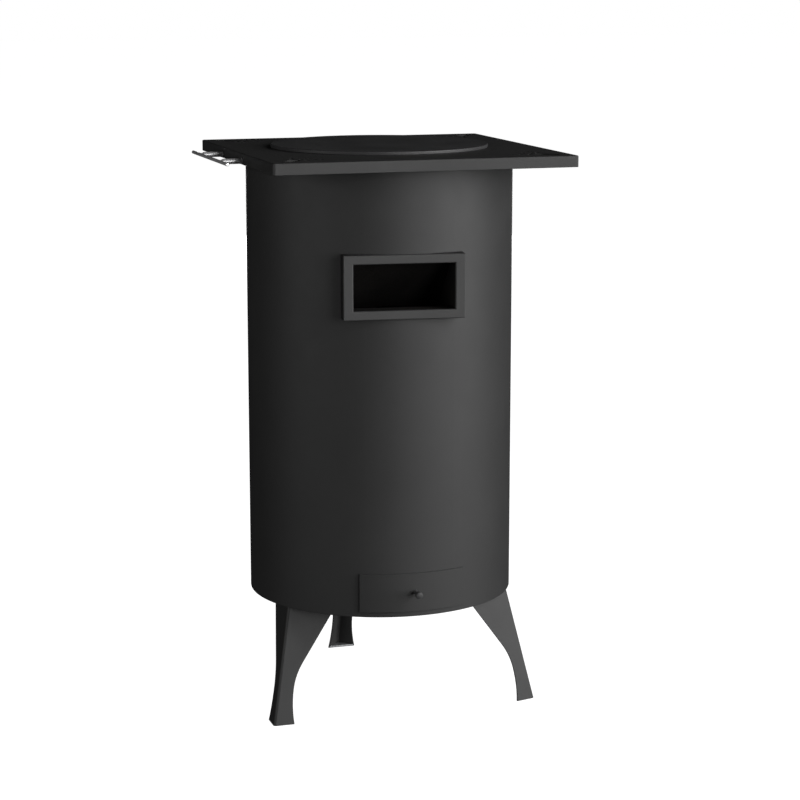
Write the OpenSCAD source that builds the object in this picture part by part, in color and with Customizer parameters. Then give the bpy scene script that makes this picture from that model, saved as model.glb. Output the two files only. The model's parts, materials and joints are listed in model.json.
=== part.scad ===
// Free-standing rocket stove: a round insulated body on three folded legs, with a square
// folded top, a lift-off hotplate, a side rail, a framed feed opening and an ash drawer.
// The origin is on the floor, at the centre of the whole stove's outline. The feed opening,
// the drawer and the front edge of the top face -Y, and the rail is on the -X side.

/* [Overall] */
// Height of the top plate's upper face above the floor
stove_h = 845; // [820:5:870]
// Thickness of the body's rolled sheet
sheet_t = 2; // [1.5:0.5:3]

/* [Body] */
// Outer radius of the body
body_r = 200; // [195:1:205]
// Height of the body's lower edge above the floor
leg_h = 172; // [165:1:180]
// Thickness of the plates inside the body and of its base
plate_t = 3; // [2:0.5:4]

/* [Top plate] */
// Side of the square top
top_side = 450; // [444:2:460]
// Depth of its folded edge
top_edge_h = 16.5; // [14:0.5:20]
// Radius of its corners
top_corner_r = 4; // [2:1:12]
// Thickness of the sheet that closes the top from below
under_t = 1.5; // [1:0.5:1.5]
// How far the top sits forward of the body's axis
top_forward = 17; // [10:1:20]
// Radius of the pot opening under the hotplate
pot_opening_r = 150; // [146:1:152]

/* [Hotplate] */
// Radius of the lift-off hotplate
hotplate_r = 162.5; // [160:0.5:168]
// Thickness of the hotplate
hotplate_t = 5.2; // [4:0.2:8]
// Gap between its locating ring and the opening's edge
hotplate_play = 2; // [1.5:0.5:4]

/* [Feed opening] */
// Angle of the feed opening round the body, from the front towards the right
feed_angle = -6.7; // [-10:0.1:0]
// Height of the opening's centre above the floor
feed_z = 661; // [650:1:670]
// Width of the clear opening
feed_w = 148.5; // [140:0.5:150]
// Height of the clear opening
feed_h = 67; // [60:1:70]
// Outer width of the frame
frame_w = 177; // [172:1:180]
// Outer height of the frame
frame_h = 93; // [88:1:96]
// Thickness of the frame
frame_t = 5; // [4:0.5:6]
// Slope of the feed chute below the horizontal, in degrees
chute_slope = 42; // [38:1:45]

/* [Combustion chamber] */
// Inner radius of the riser tube
riser_r = 85; // [82:1:88]
// Height of the chamber floor's underside above the floor
chamber_z = 256; // [254:1:262]
// Height of the burner deck's underside above the floor
deck_z = 790; // [785:1:795]
// Thickness of the insulation round the riser
wool_t = 50; // [40:1:55]

/* [Ash drawer] */
// Angle of the drawer round the body, from the front towards the right
drawer_angle = -2; // [-4:0.5:0]
// Half of the angle that the drawer's front covers
drawer_half_angle = 23.25; // [22:0.25:24]
// Height of the front's lower edge above the floor
drawer_z = 180.5; // [179:0.5:182]
// Height of the front
drawer_h = 57.5; // [56:0.5:59]
// Outer width of the tray
tray_w = 140; // [130:1:141]
// Outer height of the tray
tray_h = 38; // [34:1:40]
// How far the tray reaches behind the body's axis
tray_back = 75; // [60:1:85]

/* [Legs] */
// Radius at which the legs' folds meet the floor
foot_r = 245; // [235:1:250]
// How far the front left leg is turned about the top of its fold, in degrees
left_leg_turn = 15; // [0:1:18]
// Width of the wings at the narrowest place
neck_w = 24.2; // [22:0.2:28]
// Height of the narrowest place
neck_z = 52; // [48:1:58]
// Thickness of the legs' folded sheet
leg_t = 2.5; // [2:0.5:3]

/* [Side rail] */
// Distance from the top's edge to the middle of the rail
rail_out = 34; // [30:1:38]
// Length of the rail
rail_len = 229; // [220:1:235]
// Radius of the rail
rail_r = 2.5; // [2:0.25:3.5]
// Distance between the rail's two posts
post_gap = 126; // [120:1:130]
// Radius of the posts
post_r = 4; // [3.5:0.25:5]

/* [Hidden] */

$fn = 96;
cut = 1;        // how far a cut runs past the faces that it opens
gap = 0.3;      // clearance between parts that only sit beside each other
weld_gap = 0.1; // fit of a part that is welded into a hole

paint = "#2f3032";
iron = "#262729";
rail_steel = "#d5d6d8";
zinc = "#8d9092";
wool = "#d9d3c4";

// Body
shell_in_r = body_r - sheet_t;
shell_top = stove_h - plate_t;
inner_plate_r = shell_in_r - gap;
bracket_angles = [45, 135, 225, 315];
bracket_w = 20;
bracket_leg = 20;
bracket_play = 1;

// Top plate
top_half = top_side / 2;
top_under_z = stove_h - top_edge_h;
top_in_side = top_side - 2 * plate_t;
ring_w = 24;
ring_drop = 22;
stud_circle_r = 183;
stud_r = 3;
stud_len = 14;
nut_af_r = 5.8;
nut_h = 5;
top_in_r = top_corner_r > plate_t + 1 ? top_corner_r - plate_t : 1;

// Hotplate
locator_t = 4;
locator_h = 8;

// Corner fretwork of the top: a leaf and three rows of holes that grow towards it
leaf_x = 190;
leaf_r = leaf_x * sqrt(2);
leaf_arc_r = 27;
leaf_arc_off = 17;
fret_rows = [-30, 0, 30];
fret_holes = [[26, 4], [39, 3.2], [50, 2.4]];

// Feed and chute
collar_w = feed_w + 2 * sheet_t;
collar_h = feed_h + 2 * sheet_t;
frame_back_r = body_r + 1;
frame_side_r = body_r - 30;
frame_bevel = 1;
collar_in_r = 172;
chute_end_r = 20;
chute_drop = tan(chute_slope);

// Combustion chamber
riser_wall = 3;
riser_out_r = riser_r + riser_wall;
floor_top = chamber_z + plate_t;
ash_ledge = 15;
ash_hole_r = riser_r - ash_ledge;
grate_play = 3;
grate_r = riser_r - grate_play;
grate_t = 8;
grate_slot_w = 8;
grate_pitch = 16;
grate_slots = [-4:4];
grate_rim = 10;
deck_top = deck_z + plate_t;
support_in_r = 95;
support_out_r = 105;
support_ring_t = 6;
rib_t = 5;
rib_h = 22;
rib_in_r = 92;
rib_out_r = 144;

// Drawer
front_in_r = body_r + 0.5;
front_t = 3;
front_out_r = front_in_r + front_t;
tray_t = 1.5;
tray_z = 189;
bay_w = tray_w + 4;
bay_z = 186;
bay_h = 46;
runner_t = 2;
runner_play = 0.6;
runner_front_r = 178;
runner_len = 258;
runner_shelf_w = 13;
runner_foot_w = 15;
runner_h = 30;
knob_z = 210;
knob_r = 5.25;
knob_out = 23;
knob_head = 8;
knob_dome_r = 8;
knob_stem_r = 2.8;
knob_collar_r = 4.5;
knob_collar_t = 1.5;
screw_r = 2;
screw_head_r = 3.6;
screw_head_h = 2.4;
screw_grip = 6;

// Legs
leg_angles = [-60, 60, 180];
leg_turns = [left_leg_turn, 0, 0];
fold_top_r = body_r;
wing_angle = 45;
flare_r = 175;
neck_r = 80;
neck_turn = 27.7;
turn_z = neck_z + neck_r * sin(neck_turn);
foot_steps = 6;
neck_steps = 5;
leg_heights = concat(
    [for (k = [0:foot_steps - 1]) k * neck_z / foot_steps],
    [for (k = [0:neck_steps]) neck_z + k * (turn_z - neck_z) / neck_steps],
    [leg_h]
);
bend_r = 4;
bend_steps = 4;
foot_plate_t = 3;
bolt_r = 4;
bolt_x = 20;
bolt_y = 163;
bolt_head_r = 7.5;
bolt_head_h = 5.3;
bolt_nut_h = 6.5;
bolt_past = 2;

// Rail
rail_drop = 11;
rail_z = stove_h - rail_drop;
rail_x = -(top_half + rail_out);

// The stove's outline reaches further on the rail's side, so its axis is off the origin
axis_x = (rail_out + rail_r) / 2;
axis_y = (top_half + top_forward - foot_r) / 2;

module place() {
    translate([axis_x, axis_y, 0]) children();
}

module on_top() {
    place() translate([0, -top_forward, 0]) children();
}

module ring(r_out, r_in, h) {
    difference() {
        cylinder(r = r_out, h = h);
        translate([0, 0, -cut]) cylinder(r = r_in, h = h + 2 * cut);
    }
}

module box_at(x0, x1, y0, y1, z0, z1) {
    translate([x0, y0, z0]) cube([x1 - x0, y1 - y0, z1 - z0]);
}

module rounded_square(side, r) {
    square([side - 2 * r, side], center = true);
    square([side, side - 2 * r], center = true);
    for (sx = [-1, 1], sy = [-1, 1])
        translate([sx * (side / 2 - r), sy * (side / 2 - r)]) circle(r = r);
}

module hex_nut(r, h, bore) {
    difference() {
        cylinder(r = r, h = h, $fn = 6);
        translate([0, 0, -cut]) cylinder(r = bore, h = h + 2 * cut);
    }
}

// ---- body ----

module body_shell() {
    color(paint) place() difference() {
        translate([0, 0, leg_h]) ring(body_r, shell_in_r, shell_top - leg_h);
        rotate(feed_angle)
            feed_block(collar_w + 2 * weld_gap, collar_h + 2 * weld_gap, -body_r - cut, -collar_in_r);
        rotate(drawer_angle)
            box_at(-bay_w / 2, bay_w / 2, -body_r - cut, -body_r / 2, bay_z, bay_z + bay_h);
    }
}

module base_disc() {
    color(paint) place() difference() {
        translate([0, 0, leg_h]) cylinder(r = inner_plate_r, h = plate_t);
        leg_bolt_places() translate([0, 0, leg_h - cut]) cylinder(r = bolt_r + gap, h = plate_t + 2 * cut);
    }
}

// Angle brackets whose upper faces are at height z
module bracket_ring(z) {
    r = inner_plate_r - bracket_play;
    half = bracket_w / 2;
    for (a = bracket_angles) rotate(a) translate([0, 0, z]) {
        box_at(r - bracket_leg, r, -half, half, -plate_t, 0);
        box_at(r - plate_t, r, -half, half, -bracket_leg, -plate_t);
    }
}

// ---- combustion chamber ----

module chamber_floor() {
    color(paint) place() translate([0, 0, chamber_z]) ring(inner_plate_r, ash_hole_r, plate_t);
}

module floor_brackets() {
    color(paint) place() bracket_ring(chamber_z);
}

module grate() {
    color(iron) place() translate([0, 0, floor_top]) difference() {
        cylinder(r = grate_r, h = grate_t);
        for (i = grate_slots) grate_slot(i * grate_pitch);
    }
}

module grate_slot(x) {
    half = sqrt(pow(grate_r - grate_rim, 2) - x * x) - grate_slot_w / 2;
    translate([0, 0, -cut]) linear_extrude(grate_t + 2 * cut) {
        translate([x - grate_slot_w / 2, -half]) square([grate_slot_w, 2 * half]);
        for (s = [-1, 1]) translate([x, s * half]) circle(d = grate_slot_w);
    }
}

module riser_tube() {
    color(iron) place() difference() {
        translate([0, 0, floor_top]) ring(riser_out_r, riser_r, deck_z - floor_top);
        rotate(feed_angle) chute_prism(feed_w / 2, 0, riser_out_r + cut);
    }
}

module insulation_wool() {
    color(wool) place() difference() {
        translate([0, 0, floor_top + gap])
            ring(riser_out_r + gap + wool_t, riser_out_r + gap, deck_z - floor_top - 2 * gap);
        rotate(feed_angle)
            chute_prism(collar_w / 2 + gap, sheet_t + gap, riser_out_r + wool_t + 2 * cut);
    }
}

module burner_deck() {
    color(paint) place() translate([0, 0, deck_z]) ring(inner_plate_r, riser_r, plate_t);
}

module deck_brackets() {
    color(paint) place() bracket_ring(deck_z);
}

module pot_support() {
    color(iron) place() translate([0, 0, deck_top]) {
        ring(support_out_r, support_in_r, support_ring_t);
        for (a = bracket_angles) rotate(a) box_at(rib_in_r, rib_out_r, -rib_t / 2, rib_t / 2, 0, rib_h);
    }
}

// ---- feed ----

// A straight block round the feed opening's centre line
module feed_block(w, h, y0, y1) {
    box_at(-w / 2, w / 2, y0, y1, feed_z - h / 2, feed_z + h / 2);
}

// The chute's sloping space, from y = -start_r inwards; side and grow widen it
module chute_prism(side, grow, start_r) {
    fall = (collar_in_r - chute_end_r) * chute_drop;
    back = (start_r - collar_in_r) * chute_drop;
    lift = grow / cos(chute_slope);
    top = feed_z + feed_h / 2 + lift;
    low = feed_z - feed_h / 2 - lift;
    rotate([90, 0, 90]) translate([0, 0, -side]) linear_extrude(2 * side) polygon([
        [-start_r, low + back],
        [-chute_end_r, low - fall],
        [-chute_end_r, top - fall],
        [-start_r, top + back]
    ]);
}

module feed_chute() {
    color(iron) place() difference() {
        rotate(feed_angle) chute_prism(collar_w / 2, sheet_t, collar_in_r);
        rotate(feed_angle) chute_prism(feed_w / 2, 0, collar_in_r + cut);
        translate([0, 0, floor_top]) cylinder(r = riser_out_r + gap / 3, h = deck_z - floor_top);
    }
}

module feed_collar() {
    color(paint) place() rotate(feed_angle) difference() {
        feed_block(collar_w, collar_h, -frame_back_r, -collar_in_r);
        feed_block(feed_w, feed_h, -frame_back_r - cut, -collar_in_r + cut);
    }
}

// The corners of a rectangle at height z, counter-clockwise
function rectangle_at(w, h, z) =
    [for (s = [[-1, -1], [1, -1], [1, 1], [-1, 1]]) [s[0] * w / 2, s[1] * h / 2, z]];

// The sides of a solid whose points come in rings of n, each ring joined to the next
function ring_sides(rings, n, closed) = [
    for (i = [0:rings - (closed ? 1 : 2)], j = [0:n - 1], half = [0, 1])
        let (a = i * n, b = (i + 1) % rings * n, k = (j + 1) % n)
        half == 0 ? [b + j, a + k, a + j] : [b + j, b + k, a + k]
];

module feed_frame() {
    edge = 2 * frame_bevel;
    rings = [
        [frame_w, frame_h, 0],
        [frame_w, frame_h, frame_t - frame_bevel],
        [frame_w - edge, frame_h - edge, frame_t],
        [feed_w + edge, feed_h + edge, frame_t],
        [feed_w, feed_h, frame_t - frame_bevel],
        [feed_w, feed_h, 0]
    ];
    color(paint) place() rotate(feed_angle) translate([0, -frame_back_r, feed_z]) rotate([90, 0, 0])
        polyhedron(
            [for (r = rings, p = rectangle_at(r[0], r[1], r[2])) p],
            ring_sides(len(rings), 4, true)
        );
}

// The frame's folded sides, which close the space between its flat back and the round body
module feed_frame_sides() {
    color(paint) place() difference() {
        rotate(feed_angle) difference() {
            feed_block(frame_w, frame_h, -frame_back_r, -frame_side_r);
            feed_block(
                frame_w - 2 * sheet_t, frame_h - 2 * sheet_t,
                -frame_back_r - cut, -frame_side_r + cut
            );
        }
        translate([0, 0, leg_h]) cylinder(r = body_r + gap, h = stove_h - leg_h);
    }
}

// ---- top ----

module top_plate() {
    color(paint) on_top() difference() {
        translate([0, 0, top_under_z]) linear_extrude(top_edge_h) rounded_square(top_side, top_corner_r);
        translate([0, 0, top_under_z - cut])
            linear_extrude(top_edge_h - plate_t + cut) rounded_square(top_in_side, top_in_r);
        translate([0, top_forward, shell_top - cut]) cylinder(r = pot_opening_r, h = plate_t + 2 * cut);
        for (q = [0:3]) rotate(90 * q) corner_fretwork();
        rail_places() rotate([0, 90, 0]) translate([0, 0, -cut])
            cylinder(r = screw_r + weld_gap, h = plate_t + 2 * cut);
    }
}

// Closes the top from below between its folded edge and the body
module top_underplate() {
    color(paint) on_top() difference() {
        translate([0, 0, top_under_z]) linear_extrude(under_t)
            rounded_square(top_in_side - 2 * gap, top_in_r);
        translate([0, top_forward, top_under_z - cut]) cylinder(r = body_r + gap, h = under_t + 2 * cut);
    }
}

module corner_fretwork() {
    translate([0, 0, shell_top - cut]) linear_extrude(plate_t + 2 * cut) rotate(45) translate([leaf_r, 0]) {
        intersection() {
            translate([0, leaf_arc_off]) circle(r = leaf_arc_r);
            translate([0, -leaf_arc_off]) circle(r = leaf_arc_r);
        }
        for (a = fret_rows, h = fret_holes) rotate(180 + a) translate([h[0], 0]) circle(r = h[1]);
    }
}

module top_ring() {
    color(paint) place() difference() {
        union() {
            translate([0, 0, shell_top - plate_t])
                ring(inner_plate_r, inner_plate_r - ring_w, plate_t);
            translate([0, 0, shell_top - ring_drop])
                ring(inner_plate_r, inner_plate_r - plate_t, ring_drop);
        }
        stud_places() translate([0, 0, -cut]) cylinder(r = stud_r + gap, h = plate_t + 2 * cut);
    }
}

module stud_places() {
    for (a = bracket_angles) rotate(a) translate([stud_circle_r, 0, shell_top - plate_t]) children();
}

module top_studs() {
    color(zinc) place() stud_places() translate([0, 0, plate_t - stud_len])
        cylinder(r = stud_r, h = stud_len);
}

module top_nuts() {
    color(zinc) place() stud_places() translate([0, 0, -nut_h]) hex_nut(nut_af_r, nut_h, stud_r + weld_gap);
}

module hotplate() {
    color(iron) place() translate([0, 0, stove_h]) cylinder(r = hotplate_r, h = hotplate_t);
}

module hotplate_ring() {
    r = pot_opening_r - hotplate_play;
    color(iron) place() translate([0, 0, stove_h - locator_h]) ring(r, r - locator_t, locator_h);
}

// ---- side rail ----

// A screw along +Z whose head is below a sheet of thickness t that ends at the origin
module screw(t) {
    translate([0, 0, -t]) cylinder(r = screw_r, h = t + screw_grip);
    translate([0, 0, -t - screw_head_h]) cylinder(r = screw_head_r, h = screw_head_h);
}

module screw_bore() {
    translate([0, 0, -cut]) cylinder(r = screw_r + weld_gap / 2, h = screw_grip + 2 * cut);
}

// The middle of each post's end on the top's left edge, with -X pointing out
module rail_places() {
    for (s = [-1, 1]) rail_place(s) children();
}

module rail_place(s) {
    translate([-top_half, top_forward + s * post_gap / 2, rail_z]) children();
}

module rail_cylinder(r) {
    translate([rail_x, top_forward - rail_len / 2, rail_z]) rotate([-90, 0, 0])
        cylinder(r = r, h = rail_len);
}

module rail_bar() {
    color(rail_steel) on_top() rail_cylinder(rail_r);
}

module rail_post(s) {
    color(rail_steel) on_top() difference() {
        rail_place(s) rotate([0, -90, 0]) cylinder(r = post_r, h = rail_out);
        rail_cylinder(rail_r + weld_gap / 2);
        rail_place(s) rotate([0, -90, 0]) screw_bore();
    }
}

module rail_post_front() { rail_post(-1); }
module rail_post_rear() { rail_post(1); }

module rail_screws() {
    color(zinc) on_top() rail_places() rotate([0, -90, 0]) screw(plate_t);
}

// ---- ash drawer ----

module in_drawer() {
    place() rotate(drawer_angle) children();
}

module drawer_runner(side) {
    web = tray_w / 2 + runner_play;
    base_z = leg_h + plate_t;
    shelf_z = tray_z - gap - base_z;
    color(zinc) in_drawer() mirror([side < 0 ? 1 : 0, 0, 0])
        translate([0, runner_len - runner_front_r, base_z]) rotate([90, 0, 0]) linear_extrude(runner_len)
            polygon([
                [web, 0],
                [web + runner_foot_w, 0],
                [web + runner_foot_w, runner_t],
                [web + runner_t, runner_t],
                [web + runner_t, runner_h],
                [web, runner_h],
                [web, shelf_z],
                [web - runner_shelf_w, shelf_z],
                [web - runner_shelf_w, shelf_z - runner_t],
                [web, shelf_z - runner_t]
            ]);
}

module drawer_runner_left() { drawer_runner(-1); }
module drawer_runner_right() { drawer_runner(1); }

module drawer_front() {
    half = front_out_r * 2;
    color(paint) in_drawer() difference() {
        intersection() {
            translate([0, 0, drawer_z]) ring(front_out_r, front_in_r, drawer_h);
            translate([0, 0, drawer_z - cut]) linear_extrude(drawer_h + 2 * cut) polygon([
                [0, 0],
                [half * sin(-drawer_half_angle), -half * cos(drawer_half_angle)],
                [half * sin(drawer_half_angle), -half * cos(drawer_half_angle)]
            ]);
        }
        knob_place() translate([0, 0, -front_t - cut])
            cylinder(r = screw_r + weld_gap, h = front_t + 2 * cut);
    }
}

module knob_place() {
    translate([0, -front_out_r, knob_z]) rotate([90, 0, 0]) children();
}

module drawer_tray() {
    half = tray_w / 2;
    color(zinc) in_drawer() difference() {
        intersection() {
            box_at(-half, half, -front_in_r, tray_back, tray_z, tray_z + tray_h);
            translate([0, 0, tray_z - cut]) cylinder(r = front_in_r - weld_gap / 2, h = tray_h + 2 * cut);
        }
        box_at(
            -half + tray_t, half - tray_t, -front_in_r - cut, tray_back - tray_t,
            tray_z + tray_t, tray_z + tray_h + cut
        );
    }
}

module drawer_knob() {
    color(iron) in_drawer() knob_place() difference() {
        union() {
            cylinder(r = knob_collar_r, h = knob_collar_t);
            cylinder(r = knob_stem_r, h = knob_out - knob_head / 2);
            intersection() {
                translate([0, 0, knob_out - knob_head]) cylinder(r = knob_r, h = knob_head);
                translate([0, 0, knob_out - knob_dome_r]) sphere(r = knob_dome_r);
            }
        }
        screw_bore();
    }
}

// The front is curved, so the screw's flat head stands just off its inner face
module drawer_knob_screw() {
    color(zinc) in_drawer() knob_place() screw(front_t + gap / 2);
}

// ---- legs ----

// Width of a wing at height z: flared at the foot, narrow at the neck, then a straight taper
function wing_w(z) =
    z < neck_z ? neck_w + flare_r - sqrt(flare_r * flare_r - pow(neck_z - z, 2)) :
    z < turn_z ? neck_w + neck_r - sqrt(neck_r * neck_r - pow(z - neck_z, 2)) :
    neck_w + neck_r * (1 - cos(neck_turn)) + (z - turn_z) * tan(neck_turn);

// The V section of a leg that stands at the front, at height z: its rounded fold faces -Y
// and its wings run back at 45 degrees on both sides
function leg_section(z) =
    let (
        fold_y = -foot_r + (foot_r - fold_top_r) * z / leg_h,
        w = wing_w(z),
        side = [sin(wing_angle), cos(wing_angle)],
        bend_y = fold_y + bend_r * sqrt(2),
        turns = [for (i = [0:bend_steps]) -135 + 90 * i / bend_steps],
        outer = [for (a = turns) [bend_r * cos(a), bend_y + bend_r * sin(a)]],
        inner = [for (a = turns) [(bend_r - leg_t) * cos(a), bend_y + (bend_r - leg_t) * sin(a)]]
    )
    concat(
        [[-w * side[0], fold_y + w * side[1]]],
        outer,
        [[w * side[0], fold_y + w * side[1]]],
        [[(w - leg_t) * side[0], fold_y + (w + leg_t) * side[1]]],
        [for (i = [bend_steps:-1:0]) inner[i]],
        [[-(w - leg_t) * side[0], fold_y + (w + leg_t) * side[1]]]
    );

// Moves what is drawn for a leg at the front to leg i
module in_leg(i) {
    rotate(leg_angles[i]) translate([0, -fold_top_r, 0]) rotate(leg_turns[i])
        translate([0, fold_top_r, 0]) children();
}

module leg(i) {
    rings = len(leg_heights);
    n = len(leg_section(0));
    color(paint) place() in_leg(i) polyhedron(
        [for (z = leg_heights, p = leg_section(z)) [p[0], p[1], z]],
        concat(
            [[for (j = [0:n - 1]) j]],
            ring_sides(rings, n, false),
            [[for (j = [n - 1:-1:0]) (rings - 1) * n + j]]
        )
    );
}

module leg_front_left() { leg(0); }
module leg_front_right() { leg(1); }
module leg_rear() { leg(2); }

// A triangular plate inside the fold, between the wings, at height z
module corner_plate(i, z, w, t) {
    apex_r = foot_r - (foot_r - fold_top_r) * (z + t) / leg_h - leg_t * sqrt(2) - gap;
    reach = w * cos(wing_angle) - leg_t * sqrt(2) / 2 - gap;
    flat = bend_r - leg_t;
    place() in_leg(i) translate([0, 0, z]) difference() {
        linear_extrude(t) polygon([
            [-flat, -apex_r + flat],
            [flat, -apex_r + flat],
            [reach, -apex_r + reach],
            [-reach, -apex_r + reach]
        ]);
        children();
    }
}

module foot_plate(i) {
    color(zinc) corner_plate(i, 0, wing_w(foot_plate_t), foot_plate_t);
}

module foot_plate_front_left() { foot_plate(0); }
module foot_plate_front_right() { foot_plate(1); }
module foot_plate_rear() { foot_plate(2); }

module leg_cap(i) {
    color(paint) corner_plate(i, leg_h - plate_t, wing_w(leg_h - plate_t), plate_t)
        for (s = [-1, 1]) translate([s * bolt_x, -bolt_y, -cut])
            cylinder(r = bolt_r + gap, h = plate_t + 2 * cut);
}

module leg_cap_front_left() { leg_cap(0); }
module leg_cap_front_right() { leg_cap(1); }
module leg_cap_rear() { leg_cap(2); }

module leg_bolt_places() {
    for (i = [0:len(leg_angles) - 1], s = [-1, 1]) in_leg(i) translate([s * bolt_x, -bolt_y, 0]) children();
}

module leg_bolts() {
    under = leg_h - plate_t;
    color(zinc) place() leg_bolt_places() {
        translate([0, 0, under]) cylinder(r = bolt_r, h = 2 * plate_t + bolt_nut_h + bolt_past);
        translate([0, 0, under - bolt_head_h]) cylinder(r = bolt_head_r, h = bolt_head_h, $fn = 6);
    }
}

module leg_nuts() {
    color(zinc) place() leg_bolt_places() translate([0, 0, leg_h + plate_t])
        hex_nut(bolt_head_r, bolt_nut_h, bolt_r + weld_gap);
}

body_shell();
base_disc();
chamber_floor();
floor_brackets();
grate();
riser_tube();
insulation_wool();
burner_deck();
deck_brackets();
pot_support();
feed_chute();
feed_collar();
feed_frame();
feed_frame_sides();
top_ring();
top_studs();
top_nuts();
top_plate();
top_underplate();
hotplate();
hotplate_ring();
rail_bar();
rail_post_front();
rail_post_rear();
rail_screws();
drawer_runner_left();
drawer_runner_right();
drawer_front();
drawer_tray();
drawer_knob();
drawer_knob_screw();
leg_front_left();
leg_front_right();
leg_rear();
foot_plate_front_left();
foot_plate_front_right();
foot_plate_rear();
leg_cap_front_left();
leg_cap_front_right();
leg_cap_rear();
leg_bolts();
leg_nuts();
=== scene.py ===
"""Rocket stove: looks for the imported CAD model. Everything is in metres, in the model's frame."""

import json
import math

import bmesh
import bpy
from mathutils import Matrix, Vector


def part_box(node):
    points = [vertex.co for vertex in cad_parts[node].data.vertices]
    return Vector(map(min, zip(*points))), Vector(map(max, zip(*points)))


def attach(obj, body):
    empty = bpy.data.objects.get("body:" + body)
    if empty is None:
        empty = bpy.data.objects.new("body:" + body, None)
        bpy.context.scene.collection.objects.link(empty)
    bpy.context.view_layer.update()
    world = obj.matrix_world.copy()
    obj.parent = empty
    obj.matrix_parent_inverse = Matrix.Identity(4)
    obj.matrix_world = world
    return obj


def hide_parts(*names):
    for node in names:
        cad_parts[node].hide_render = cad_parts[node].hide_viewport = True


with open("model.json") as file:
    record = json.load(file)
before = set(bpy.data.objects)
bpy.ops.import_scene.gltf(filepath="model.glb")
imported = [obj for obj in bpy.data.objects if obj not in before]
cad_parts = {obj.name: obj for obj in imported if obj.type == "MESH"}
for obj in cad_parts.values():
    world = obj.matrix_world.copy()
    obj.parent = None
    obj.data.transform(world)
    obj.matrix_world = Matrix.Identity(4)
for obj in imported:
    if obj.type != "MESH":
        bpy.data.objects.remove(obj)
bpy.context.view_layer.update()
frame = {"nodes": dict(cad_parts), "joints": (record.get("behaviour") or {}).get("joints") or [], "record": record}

MM = 0.001
UP = Vector((0, 0, 1))


# ---------------------------------------------------------------- places taken from the frame


def box_middle(node):
    low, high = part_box(node)
    return (low + high) / 2


def joint_axis(name):
    return Vector(next(j["axis"] for j in frame["joints"] if j["name"] == name))


shell_low, shell_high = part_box("body_shell")
top_low, top_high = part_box("top_plate")
front_low, front_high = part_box("drawer_front")
plate_low, plate_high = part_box("hotplate")

AXIS = Vector((box_middle("body_shell").x, box_middle("body_shell").y, 0))
BODY_R = 200 * MM
SHEET_T = 2 * MM
TOP_T = 3 * MM
POT_OPENING_R = 150 * MM
FEED_HALF_WIDTH = 76.35 * MM
DRAWER_BAY_HALF_WIDTH = 72 * MM
DRAWER_BAY_HEIGHTS = (186 * MM, 232 * MM)
DRAWER_HALF_ANGLE = math.radians(23.25)
DRAWER_OUT_R = BODY_R + 3.5 * MM
TOP_SIDE = top_high.x - top_low.x
TOP_MIDDLE = Vector((box_middle("top_plate").x, box_middle("top_plate").y, top_high.z))

drawer_out = joint_axis("drawer_slide")
DRAWER_ANGLE = math.atan2(drawer_out.x, -drawer_out.y)
feed_out = box_middle("feed_frame") - AXIS
FEED_ANGLE = math.atan2(feed_out.x, -feed_out.y)


# ---------------------------------------------------------------- mesh helpers


def stand_in(node, name, bm, smooth=35, recalc=True):
    """Turns a bmesh into the piece that takes a CAD node's place, on its body and in its slot."""
    if recalc:
        bmesh.ops.recalc_face_normals(bm, faces=bm.faces)
    mesh = bpy.data.meshes.new(name)
    bm.to_mesh(mesh)
    bm.free()
    obj = bpy.data.objects.new(name, mesh)
    bpy.context.scene.collection.objects.link(obj)
    shade(mesh, smooth)
    mesh.materials.append(material_of(node))
    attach(obj, node_bodies[node])
    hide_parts(node)
    return obj


def shade(mesh, angle):
    """Smooth shading that stays sharp at edges steeper than angle, in degrees."""
    mesh.polygons.foreach_set("use_smooth", [True] * len(mesh.polygons))
    mesh.set_sharp_from_angle(angle=math.radians(angle))


def bake_modifiers(obj, angle=35):
    """Applies the object's modifiers, so that the kept mesh is the final one."""
    graph = bpy.context.evaluated_depsgraph_get()
    graph.update()
    mesh = bpy.data.meshes.new_from_object(obj.evaluated_get(graph))
    obj.modifiers.clear()
    obj.data = mesh
    if angle is not None:
        shade(mesh, angle)
    return obj


def flatten(obj):
    """Turns each corner's normal towards its largest face, so flats beside a rounded edge look flat."""
    mod = obj.modifiers.new("flat_faces", "WEIGHTED_NORMAL")
    mod.keep_sharp = True
    mod.weight = 100
    return bake_modifiers(obj, None)


def bevel(obj, width, segments=3, angle=40):
    """Rounds every edge that is sharper than angle, in degrees."""
    mod = obj.modifiers.new("round_edges", "BEVEL")
    mod.width = width
    mod.segments = segments
    mod.limit_method = "ANGLE"
    mod.angle_limit = math.radians(angle)
    mod.use_clamp_overlap = True
    return flatten(bake_modifiers(obj))


def solidify(obj, thickness):
    """Gives a sheet its thickness, on the side away from its normals."""
    mod = obj.modifiers.new("sheet", "SOLIDIFY")
    mod.thickness = thickness
    mod.offset = -1
    mod.use_even_offset = True
    return bake_modifiers(obj)


def soft_copy(node, width=0.4 * MM, segments=2):
    """A copy of a CAD node with its flat faces merged and its edges rounded."""
    bm = bmesh.new()
    bm.from_mesh(frame["nodes"][node].data)
    bmesh.ops.remove_doubles(bm, verts=bm.verts, dist=0.01 * MM)
    bmesh.ops.dissolve_limit(bm, angle_limit=math.radians(0.5), verts=bm.verts, edges=bm.edges)
    return bevel(stand_in(node, f"{node}_piece", bm), width, segments)


def add_loop(bm, points):
    return [bm.verts.new(p) for p in points]


def bridge(bm, first, second):
    """Joins two closed loops of the same length with quads."""
    count = len(first)
    for i in range(count):
        k = (i + 1) % count
        bm.faces.new((first[i], first[k], second[k], second[i]))


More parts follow.
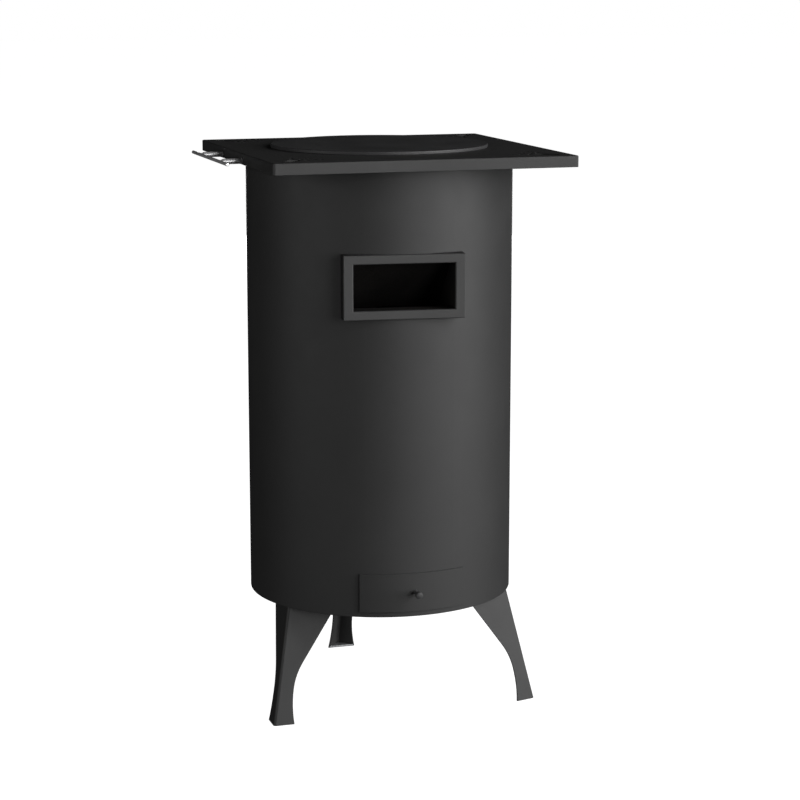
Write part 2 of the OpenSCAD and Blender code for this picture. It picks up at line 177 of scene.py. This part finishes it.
def fill(bm, loops):
    """Fills the flat area between an outer loop and the loops of its holes."""
    edges = []
    for loop in loops:
        for i, vert in enumerate(loop):
            other = loop[(i + 1) % len(loop)]
            edges.append(bm.edges.get((vert, other)) or bm.edges.new((vert, other)))
    bmesh.ops.triangle_fill(bm, use_beauty=True, edges=edges)


def lathe(profile, place, segments=96):
    """A turned solid: profile is a list of (radius, height) from the axis back to the axis."""
    bm = bmesh.new()
    rings = []
    for radius, height in profile:
        if radius < 1e-6:
            rings.append([bm.verts.new(place @ Vector((0, 0, height)))])
            continue
        turn = [2 * math.pi * i / segments for i in range(segments)]
        spots = [Vector((radius * math.cos(a), radius * math.sin(a), height)) for a in turn]
        rings.append(add_loop(bm, [place @ spot for spot in spots]))
    for low, high in zip(rings, rings[1:]):
        if len(low) == 1 and len(high) > 1:
            for i in range(segments):
                bm.faces.new((low[0], high[i], high[(i + 1) % segments]))
        elif len(high) == 1 and len(low) > 1:
            for i in range(segments):
                bm.faces.new((high[0], low[i], low[(i + 1) % segments]))
        else:
            bridge(bm, low, high)
    return bm


def arc(middle, radius, start, end, steps):
    """Points on a circle's arc from start to end degrees, as (x, y)."""
    turn = [math.radians(start + (end - start) * i / steps) for i in range(steps + 1)]
    return [(middle[0] + radius * math.cos(a), middle[1] + radius * math.sin(a)) for a in turn]


def facing(origin, direction):
    """A frame at origin whose Z points along direction and whose Y leans upward."""
    z = direction.normalized()
    x = UP.cross(z)
    if x.length < 1e-6:
        x = Vector((1, 0, 0))
    x.normalize()
    y = z.cross(x)
    return Matrix.Translation(origin) @ Matrix((x, y, z)).transposed().to_4x4()


def outward(angle):
    """The horizontal direction at an angle round the body, from the front towards the right."""
    return Vector((math.sin(angle), -math.cos(angle), 0))


# ---------------------------------------------------------------- materials


class Shader:
    """A small builder of procedural materials around one Principled shader."""

    def __init__(self, name, color, roughness, metallic=0.0):
        self.material = bpy.data.materials.new(name)
        self.material.use_nodes = True
        self.tree = self.material.node_tree
        self.shader = self.tree.nodes["Principled BSDF"]
        self.shader.inputs["Base Color"].default_value = (*color, 1)
        self.shader.inputs["Roughness"].default_value = roughness
        self.shader.inputs["Metallic"].default_value = metallic
        self.place = self.node("ShaderNodeTexCoord").outputs["Object"]
        self.height = None

    def node(self, kind, **values):
        made = self.tree.nodes.new(kind)
        for key, value in values.items():
            setattr(made, key, value)
        return made

    def link(self, source, target):
        self.tree.links.new(source, target)

    def noise(self, scale, detail=4, roughness=0.6, stretch=(1, 1, 1)):
        mapping = self.node("ShaderNodeMapping")
        mapping.inputs["Scale"].default_value = stretch
        self.link(self.place, mapping.inputs["Vector"])
        noise = self.node("ShaderNodeTexNoise")
        noise.inputs["Scale"].default_value = scale
        noise.inputs["Detail"].default_value = detail
        noise.inputs["Roughness"].default_value = roughness
        self.link(mapping.outputs["Vector"], noise.inputs["Vector"])
        return noise.outputs["Fac"]

    def ramp(self, value, low, high, start=0.3, end=0.7):
        """Maps a 0 to 1 value onto the range between two numbers or two colours."""
        node = self.node("ShaderNodeMapRange")
        node.clamp = True
        node.inputs["From Min"].default_value = start
        node.inputs["From Max"].default_value = end
        self.link(value, node.inputs["Value"])
        if isinstance(low, (int, float)):
            node.inputs["To Min"].default_value = low
            node.inputs["To Max"].default_value = high
            return node.outputs["Result"]
        mix = self.node("ShaderNodeMix", data_type="RGBA")
        mix.inputs["A"].default_value = (*low, 1)
        mix.inputs["B"].default_value = (*high, 1)
        self.link(node.outputs["Result"], mix.inputs["Factor"])
        return mix.outputs["Result"]

    def mix(self, value, first, second):
        """Blends two colours or colour outputs by a 0 to 1 value."""
        node = self.node("ShaderNodeMix", data_type="RGBA")
        for socket, colour in (("A", first), ("B", second)):
            if isinstance(colour, tuple):
                node.inputs[socket].default_value = (*colour, 1)
            else:
                self.link(colour, node.inputs[socket])
        self.link(value, node.inputs["Factor"])
        return node.outputs["Result"]

    def color(self, value):
        self.link(value, self.shader.inputs["Base Color"])
        return self

    def rough(self, value):
        self.link(value, self.shader.inputs["Roughness"])
        return self

    def bump(self, value, distance, strength=1.0):
        """Adds a relief whose full height is distance, on top of the ones before it."""
        node = self.node("ShaderNodeBump")
        node.inputs["Strength"].default_value = strength
        node.inputs["Distance"].default_value = distance
        self.link(value, node.inputs["Height"])
        if self.height is not None:
            self.link(self.height, node.inputs["Normal"])
        self.height = node.outputs["Normal"]
        self.link(self.height, self.shader.inputs["Normal"])
        return self


def matt_paint(name, tone):
    """Matt heat-resistant paint on sheet steel: fine grain, faint clouding and rub marks."""
    s = Shader(name, (tone, tone, tone), 0.55)
    s.shader.inputs["Specular IOR Level"].default_value = 0.35
    grain = s.noise(900, 3, 0.7)
    peel = s.noise(260, 2, 0.5)
    faded, full = (tone * 1.08,) * 3, (tone * 0.93,) * 3
    clouds = s.ramp(s.noise(7, 5, 0.55), full, faded)
    s.color(s.mix(s.ramp(grain, 0.0, 0.35), clouds, (tone * 1.3,) * 3))
    s.rough(s.ramp(s.noise(16, 6, 0.65), 0.51, 0.59))
    s.bump(peel, 0.05 * MM, 0.35).bump(grain, 0.03 * MM, 0.4)
    return s.material


def fire_steel():
    """Bare steel of the fire path: blued, sooted and scaled by heat."""
    s = Shader("sooted_steel", (0.008, 0.008, 0.008), 0.8)
    s.shader.inputs["Specular IOR Level"].default_value = 0.15
    soot = s.noise(11, 6, 0.7)
    scale = s.noise(340, 4, 0.7)
    s.color(s.mix(s.ramp(soot, 0.0, 1.0), (0.004, 0.004, 0.004), (0.014, 0.012, 0.011)))
    s.rough(s.ramp(scale, 0.7, 0.9))
    s.bump(soot, 0.3 * MM, 0.3).bump(scale, 0.08 * MM, 0.6)
    return s.material


def cast_iron():
    """Seasoned cast iron: sand-cast pits under a dark, slightly oily skin."""
    s = Shader("seasoned_iron", (0.04, 0.04, 0.041), 0.5)
    sand = s.noise(520, 5, 0.7)
    patch = s.noise(14, 4, 0.6)
    s.color(s.ramp(patch, (0.033, 0.033, 0.034), (0.042, 0.042, 0.043)))
    s.rough(s.ramp(patch, 0.48, 0.6))
    s.bump(sand, 0.12 * MM, 0.5)
    return s.material


def polished_steel():
    """Polished stainless steel with faint drawn lines along the rail and light handling marks."""
    s = Shader("polished_rail", (0.9, 0.9, 0.9), 0.3, metallic=0.6)
    lines = s.noise(700, 3, 0.6, stretch=(1, 0.03, 1))
    s.color(s.ramp(lines, (0.86, 0.86, 0.87), (0.94, 0.94, 0.95)))
    s.rough(s.ramp(s.noise(60, 4, 0.6), 0.26, 0.36))
    s.bump(lines, 0.01 * MM, 0.25)
    return s.material


def zinc_plate():
    """Zinc-plated steel: a dull grey with small bright spangles and rubbed places."""
    s = Shader("zinc_coat", (0.42, 0.43, 0.44), 0.42, metallic=0.9)
    cells = s.node("ShaderNodeTexVoronoi")
    cells.inputs["Scale"].default_value = 220
    s.link(s.place, cells.inputs["Vector"])
    rub = s.noise(30, 5, 0.6)
    s.color(s.mix(cells.outputs["Distance"], (0.36, 0.37, 0.38), (0.5, 0.51, 0.52)))
    s.rough(s.ramp(rub, 0.35, 0.55))
    s.bump(rub, 0.05 * MM, 0.3)
    return s.material


def mineral_wool():
    """Ceramic-fibre blanket: off-white, with matted fibres."""
    s = Shader("fibre_blanket", (0.7, 0.67, 0.6), 0.95)
    fibres = s.noise(420, 6, 0.75, stretch=(1, 1, 0.25))
    s.color(s.ramp(fibres, (0.58, 0.55, 0.48), (0.78, 0.76, 0.7)))
    s.rough(s.ramp(fibres, 0.9, 1.0))
    s.bump(fibres, 1.5 * MM, 0.8)
    return s.material


SLOT_MATERIALS = {
    "stove_paint": matt_paint("matt_charcoal", 0.03),
    "flue_steel": fire_steel(),
    "cast_iron": cast_iron(),
    "rail_steel": polished_steel(),
    "zinc": zinc_plate(),
    "wool": mineral_wool(),
}

node_slots = {row["node"]: row["material_slot"] for row in frame["record"]["subparts"]}
node_bodies = {n: body for body, names in frame["record"]["behaviour"]["bodies"].items() for n in names}


# the flat frame is given a lighter tone; its sides and the sheet under the pierced corners are painted near-black,
# as painted shade
PAINTED_SHADE = matt_paint("painted_shade_charcoal", 0.005)
OWN_TONE_AND_SHADE = {
    "feed_frame": matt_paint("lighter_charcoal", 0.047),
    "feed_frame_sides": PAINTED_SHADE,
    "top_underplate": PAINTED_SHADE,
}


def material_of(node):
    return OWN_TONE_AND_SHADE.get(node) or SLOT_MATERIALS[node_slots[node]]


def paint_node(node):
    """Gives a CAD node that stays the material of its slot."""
    for slot in frame["nodes"][node].material_slots:
        slot.material = material_of(node)


# ---------------------------------------------------------------- body


def spread(low, high, step, marks=()):
    """Evenly spaced values from low to high, with the marks among them."""
    count = max(1, round((high - low) / step))
    even = [low + (high - low) * i / count for i in range(count + 1)]
    kept = [v for v in even if all(abs(v - m) > step * 0.3 for m in marks) or v in (low, high)]
    return sorted(set(kept) | set(marks))


def body_shell():
    """The rolled sheet: a full turn with the feed and drawer openings left out."""
    feed_half = math.asin(FEED_HALF_WIDTH / BODY_R)
    collar_low, collar_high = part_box("feed_collar")
    bay_half = math.asin(DRAWER_BAY_HALF_WIDTH / BODY_R)
    holes = [
        (FEED_ANGLE - feed_half, FEED_ANGLE + feed_half, collar_low.z, collar_high.z),
        (DRAWER_ANGLE - bay_half, DRAWER_ANGLE + bay_half, *DRAWER_BAY_HEIGHTS),
    ]
    beside, above = math.radians(0.4), 1.5 * MM
    sides = [v + d for h in holes for v in h[:2] for d in (-beside, 0, beside)]
    levels = [v + d for h in holes for v in h[2:] for d in (-above, 0, above)]
    levels += [shell_low.z + above, shell_high.z - above]
    angles = spread(-math.pi, math.pi, math.radians(1.5), sides)[:-1]
    heights = spread(shell_low.z, shell_high.z, 60 * MM, levels)
    bm = bmesh.new()
    rows = [add_loop(bm, [AXIS + outward(a) * BODY_R + UP * z for a in angles]) for z in heights]
    for low, high, z0, z1 in zip(rows, rows[1:], heights, heights[1:]):
        for i, a0 in enumerate(angles):
            k = (i + 1) % len(angles)
            a1 = angles[k] if k else math.pi
            middle = ((a0 + a1) / 2, (z0 + z1) / 2)
            if any(h[0] < middle[0] < h[1] and h[2] < middle[1] < h[3] for h in holes):
                continue
            bm.faces.new((low[i], low[k], high[k], high[i]))
    loose = [v for v in bm.verts if not v.link_faces]
    bmesh.ops.delete(bm, geom=loose, context="VERTS")
    obj = stand_in("body_shell", "body_shell_sheet", bm, recalc=False)
    solidify(obj, SHEET_T)
    return bevel(obj, 0.5 * MM, 2, 50)


def rounded_square(half, corner_r, z, steps=8):
    """A closed loop of points round a square with rounded corners, centred on the top plate."""
    points = []
    for quarter in range(4):
        turn = math.radians(90 * quarter)
        middle = Vector((half - corner_r, half - corner_r, 0))
        for x, y in arc((0, 0), corner_r, 0, 90, steps):
            points.append((Matrix.Rotation(turn, 3, "Z") @ (middle + Vector((x, y, 0)))))
    return [Vector((TOP_MIDDLE.x + p.x, TOP_MIDDLE.y + p.y, z)) for p in points]


def circle_loop(middle, radius, z, segments):
    """A closed loop of points round a circle at height z."""
    turn = [2 * math.pi * i / segments for i in range(segments)]
    return [Vector((middle.x + radius * math.cos(a), middle.y + radius * math.sin(a), z)) for a in turn]


def leaf_loop(middle, turn, radius, offset, z, grow):
    """The outline of a leaf, where two circles overlap, with its long axis at angle turn."""
    big = radius + grow
    half = math.degrees(math.acos(offset / big))
    side = arc((0, -offset), big, 90 - half, 90 + half, 14)[:-1]
    points = side + [(-x, -y) for x, y in side]
    rotation = Matrix.Rotation(turn, 3, "Z")
    return [middle + rotation @ Vector((x, y, 0)) + Vector((0, 0, z)) for x, y in points]


def fretwork():
    """The pierced corners, as functions that give each hole's outline grown by a distance."""
    holes = []
    rows = [-30, 0, 30]
    sizes = [(26 * MM, 4 * MM), (39 * MM, 3.2 * MM), (50 * MM, 2.4 * MM)]
    leaf_at = 190 * math.sqrt(2) * MM
    for quarter in range(4):
        turn = math.radians(45 + 90 * quarter)
        flat = Vector((TOP_MIDDLE.x, TOP_MIDDLE.y, 0))
        middle = flat + Vector((math.cos(turn), math.sin(turn), 0)) * leaf_at
        holes.append(lambda grow, z, m=middle, t=turn: leaf_loop(m, t, 27 * MM, 17 * MM, z, grow))
        for row in rows:
            for reach, radius in sizes:
                away = turn + math.pi + math.radians(row)
                spot = middle + Vector((math.cos(away), math.sin(away), 0)) * reach
                holes.append(lambda grow, z, m=spot, r=radius: circle_loop(m, r + grow, z, 24))
    return holes


def quarter_round(radius, steps):
    """How far a rounded edge lies inside its outline and below its top, from the top down."""
    turn = [math.pi / 2 * i / steps for i in range(steps + 1)]
    return [(radius * (1 - math.sin(a)), radius * (1 - math.cos(a))) for a in turn]


def top_plate():
    """The folded top: a flat with rounded holes, a bent edge and the inside of the folds."""
    fold_r = 1.6 * MM
    edge_r = 0.4 * MM
    half = TOP_SIDE / 2
    corner = 4 * MM
    top, bottom = top_high.z, top_low.z
    under = top - TOP_T
    bm = bmesh.new()
    outer = []
    for inset, drop in quarter_round(fold_r, 6):
        outline = rounded_square(half - inset, max(corner - inset, 1 * MM), top - drop)
        outer.append(add_loop(bm, outline))
    outer.append(add_loop(bm, rounded_square(half, corner, bottom + edge_r)))
    outer.append(add_loop(bm, rounded_square(half - edge_r, corner - edge_r, bottom)))
    outer.append(add_loop(bm, rounded_square(half - TOP_T + edge_r, corner - TOP_T, bottom)))
    outer.append(add_loop(bm, rounded_square(half - TOP_T, corner - TOP_T, bottom + edge_r)))
    outer.append(add_loop(bm, rounded_square(half - TOP_T, corner - TOP_T, under)))
    for first, second in zip(outer, outer[1:]):
        bridge(bm, first, second)
    pot_hole = lambda grow, z: circle_loop(AXIS, POT_OPENING_R + grow, z, 192)
    top_loops, under_loops, cut_faces = [outer[0]], [outer[-1]], []
    for hole in [pot_hole] + fretwork():
        rims = [add_loop(bm, hole(grow, top - drop)) for grow, drop in quarter_round(edge_r, 3)]
        rims.append(add_loop(bm, hole(0, under)))
        before = len(bm.faces)
        for first, second in zip(rims, rims[1:]):
            bridge(bm, first, second)
        if hole is not pot_hole:
            bm.faces.ensure_lookup_table()
            cut_faces += bm.faces[before:]
        top_loops.append(rims[0])
        under_loops.append(rims[-1])
    fill(bm, top_loops)
    fill(bm, under_loops)
    # the walls of the pierced corner holes take the near-black second material: painted shade inside the holes
    for face in cut_faces:
        face.material_index = 1
    obj = stand_in("top_plate", "top_plate_sheet", bm, smooth=40)
    obj.data.materials.append(PAINTED_SHADE)
    return flatten(obj)


def hotplate():
    """The round plate: a turned disc with eased edges."""
    half_box = (plate_high.x - plate_low.x) / 2
    # a faceted disc's box is a hair narrow, so the radius goes to the nearest half millimetre
    r = round(half_box / MM * 2) / 2 * MM
    t = plate_high.z - plate_low.z
    ease = 1.1 * MM
    middle = Vector((AXIS.x, AXIS.y, plate_low.z))
    profile = [(0, 0), (r - ease, 0)]
    profile += arc((r - ease, ease), ease, -90, 0, 5)
    profile += arc((r - ease, t - ease), ease, 0, 90, 6)
    profile += [(r * 0.6, t), (0, t)]
    bm = lathe(profile, Matrix.Translation(middle), 192)
    return flatten(stand_in("hotplate", "hotplate_disc", bm))


def drawer_front():
    """The curved drawer panel, with softly rounded edges."""
    thick = 2.2 * MM
    start, end = DRAWER_ANGLE - DRAWER_HALF_ANGLE, DRAWER_ANGLE + DRAWER_HALF_ANGLE
    angles = spread(start, end, math.radians(1.5))
    heights = [front_low.z, (front_low.z + front_high.z) / 2, front_high.z]
    bm = bmesh.new()
    rows = [add_loop(bm, [AXIS + outward(a) * DRAWER_OUT_R + UP * z for a in angles]) for z in heights]
    for low, high in zip(rows, rows[1:]):
        for i in range(len(angles) - 1):
            bm.faces.new((low[i], low[i + 1], high[i + 1], high[i]))
    obj = stand_in("drawer_front", "drawer_front_panel", bm, recalc=False)
    solidify(obj, thick)
    return bevel(obj, 0.3 * MM, 2, 50)


def drawer_knob():
    """The turned knob: a small collar, a slim stem and a flat-faced head. Its profile is in mm."""
    low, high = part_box("drawer_knob")
    middle = (low + high) / 2
    root = AXIS + outward(DRAWER_ANGLE) * DRAWER_OUT_R + UP * middle.z
    place = facing(root, outward(DRAWER_ANGLE))
    profile = [(0, 0), (3.2, 0), (3.2, 0.8), (2.6, 1.2), (2.2, 2.5), (2.1, 12), (2.5, 13.6)]
    profile += [(4.2, 14.8), (5.0, 15.5), (5.25, 16.2), (5.25, 21.6), (4.9, 22.5), (4.2, 22.9), (0, 23)]
    bm = lathe([(r * MM, h * MM) for r, h in profile], place, 48)
    return stand_in("drawer_knob", "drawer_knob_turned", bm, smooth=60)


# ---------------------------------------------------------------- rail


def rail_bar():
    """The round bar, with its ends eased."""
    low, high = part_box("rail_bar")
    middle = (low + high) / 2
    r = (high.z - low.z) / 2
    length = high.y - low.y
    ease = 0.8 * MM
    profile = [(0, 0), (r - ease, 0)] + arc((r - ease, ease), ease, -90, 0, 4)
    profile += arc((r - ease, length - ease), ease, 0, 90, 4) + [(0, length)]
    place = facing(Vector((middle.x, low.y, middle.z)), Vector((0, 1, 0)))
    bm = lathe(profile, place, 32)
    return stand_in("rail_bar", "rail_bar_rod", bm)


def rail_post(node):
    """A round post: its foot against the folded edge, and a shoulder and neck towards the bar."""
    low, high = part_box(node)
    middle = (low + high) / 2
    r = (high.z - low.z) / 2
    bar_low, bar_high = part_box("rail_bar")
    bar_x = (bar_low.x + bar_high.x) / 2
    length = high.x - bar_x
    ease = 0.4 * MM
    neck = r * 0.55
    profile = [(0, 0), (r - ease, 0)] + arc((r - ease, ease), ease, -90, 0, 3)
    profile += [(r, length * 0.8)] + arc((neck, length * 0.85), r - neck, 0, 60, 4)
    profile += [(neck, length), (0, length)]
    place = facing(Vector((high.x, middle.y, middle.z)), Vector((-1, 0, 0)))
    bm = lathe(profile, place, 32)
    return stand_in(node, f"{node}_turned", bm)


# ---------------------------------------------------------------- stage, light and camera

SKY_LEVEL = 0.005
# name, azimuth and elevation in degrees, width and height in metres, power in watts
LIGHTS = [
    ("key_near_front", 40, 8, (2.0, 2.4), 73),
    ("key_wide", 53, 8, (3.2, 2.4), 56),
    ("key_near_side", 62, 8, (2.0, 2.4), 122),
    ("key_high", 50, 30, (3.2, 2.4), 165),
    ("front", 15, 8, (1.6, 2.4), 98),
    ("left", -80, 8, (3.8, 2.4), 75),
    ("left_near_front", -50, 8, (2.5, 2.4), 14),
    ("back", 163, 0, (3.2, 0.8), 70),
]


def floor():
    """A plain white floor that the camera sees and that throws no light on the stove."""
    size = 30
    bm = bmesh.new()
    bmesh.ops.create_grid(bm, x_segments=1, y_segments=1, size=size)
    mesh = bpy.data.meshes.new("floor")
    bm.to_mesh(mesh)
    bm.free()
    obj = bpy.data.objects.new("floor", mesh)
    bpy.context.scene.collection.objects.link(obj)
    s = Shader("pale_floor", (0.35, 0.35, 0.35), 0.9)
    s.shader.inputs["Specular IOR Level"].default_value = 0
    s.shader.inputs["Emission Color"].default_value = (1, 1, 1, 1)
    s.shader.inputs["Emission Strength"].default_value = 1
    mesh.materials.append(s.material)
    obj.visible_diffuse = False
    obj.visible_glossy = False


def area_light(name, azimuth, elevation, size, power):
    """A soft box at an azimuth from the front towards the right, aimed at the stove's middle."""
    target, distance = Vector((0, 0, 0.45)), 6.0
    a, e = math.radians(azimuth), math.radians(elevation)
    away = Vector((math.sin(a) * math.cos(e), -math.cos(a) * math.cos(e), math.sin(e)))
    light = bpy.data.lights.new(name, "AREA")
    light.shape = "RECTANGLE"
    light.size, light.size_y = size
    light.energy = power
    obj = bpy.data.objects.new(name, light)
    obj.location = target + away * distance
    obj.rotation_euler = away.to_track_quat("Z", "Y").to_euler()
    bpy.context.scene.collection.objects.link(obj)


def sky(level):
    """A white surround that the camera sees, and a dim one that lights the stove."""
    world = bpy.data.worlds.new("studio")
    bpy.context.scene.world = world
    world.use_nodes = True
    tree = world.node_tree
    ground = tree.nodes["Background"]
    ground.inputs["Color"].default_value = (1, 1, 1, 1)
    path = tree.nodes.new("ShaderNodeLightPath")
    strength = tree.nodes.new("ShaderNodeMapRange")
    strength.inputs["To Min"].default_value = level
    strength.inputs["To Max"].default_value = 1
    tree.links.new(path.outputs["Is Camera Ray"], strength.inputs["Value"])
    tree.links.new(strength.outputs["Result"], ground.inputs["Strength"])


def camera():
    """Stands to the left of the front, a little above the top. Its place is in sides of the square top."""
    from_top = Vector((-2.1743, -7.1455, 0.5966))
    turn_right, look_down = 17.37, 10.98
    data = bpy.data.cameras.new("camera")
    data.lens = 101.2
    data.sensor_width = 36
    obj = bpy.data.objects.new("camera", data)
    obj.location = TOP_MIDDLE + from_top * TOP_SIDE
    obj.rotation_euler = (math.radians(90 - look_down), 0, math.radians(-turn_right))
    bpy.context.scene.collection.objects.link(obj)
    bpy.context.scene.camera = obj


camera()
bpy.context.scene.view_settings.view_transform = "Standard"
floor()
sky(SKY_LEVEL)
for light in LIGHTS:
    area_light(*light)

body_shell()
top_plate()
hotplate()
drawer_front()
drawer_knob()
rail_bar()
for post in ("rail_post_front", "rail_post_rear"):
    rail_post(post)

OWN_MESH = {
    "body_shell", "top_plate", "hotplate", "drawer_front", "drawer_knob",
    "rail_bar", "rail_post_front", "rail_post_rear", "insulation_wool",
}
for node in frame["nodes"]:
    if node not in OWN_MESH:
        soft_copy(node)
paint_node("insulation_wool")
